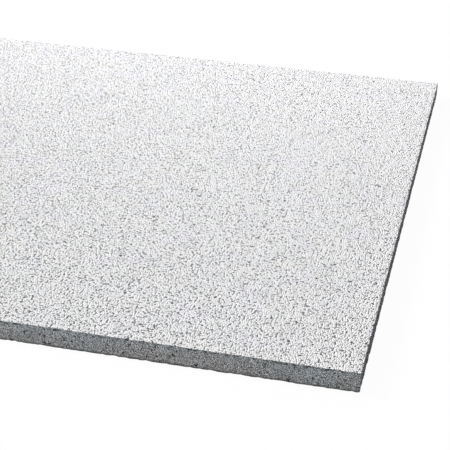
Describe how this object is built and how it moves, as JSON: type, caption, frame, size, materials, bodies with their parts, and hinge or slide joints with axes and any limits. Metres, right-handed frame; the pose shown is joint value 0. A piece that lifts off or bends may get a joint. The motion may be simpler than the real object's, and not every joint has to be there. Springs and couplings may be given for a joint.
{
  "type": "suspended ceiling tile",
  "caption": "square lay-in tile of felted mineral fibre for a suspended T-bar ceiling, with a white sand-textured pitted face and plain square-cut edges",
  "frame": {"origin": "middle of the back face, which the tile lies on", "axes": "+Z points out of the visible face; +X and +Y run along the two pairs of cut edges"},
  "size_m": [0.595, 0.595, 0.015],
  "materials": {
    "painted_face": "white matt paint over a sanded, pitted mineral-fibre face; the cut edges and the back are bare grey fibre"
  },
  "bodies": {
    "root": {"ceiling_tile": "painted_face"}
  },
  "joints": []
}
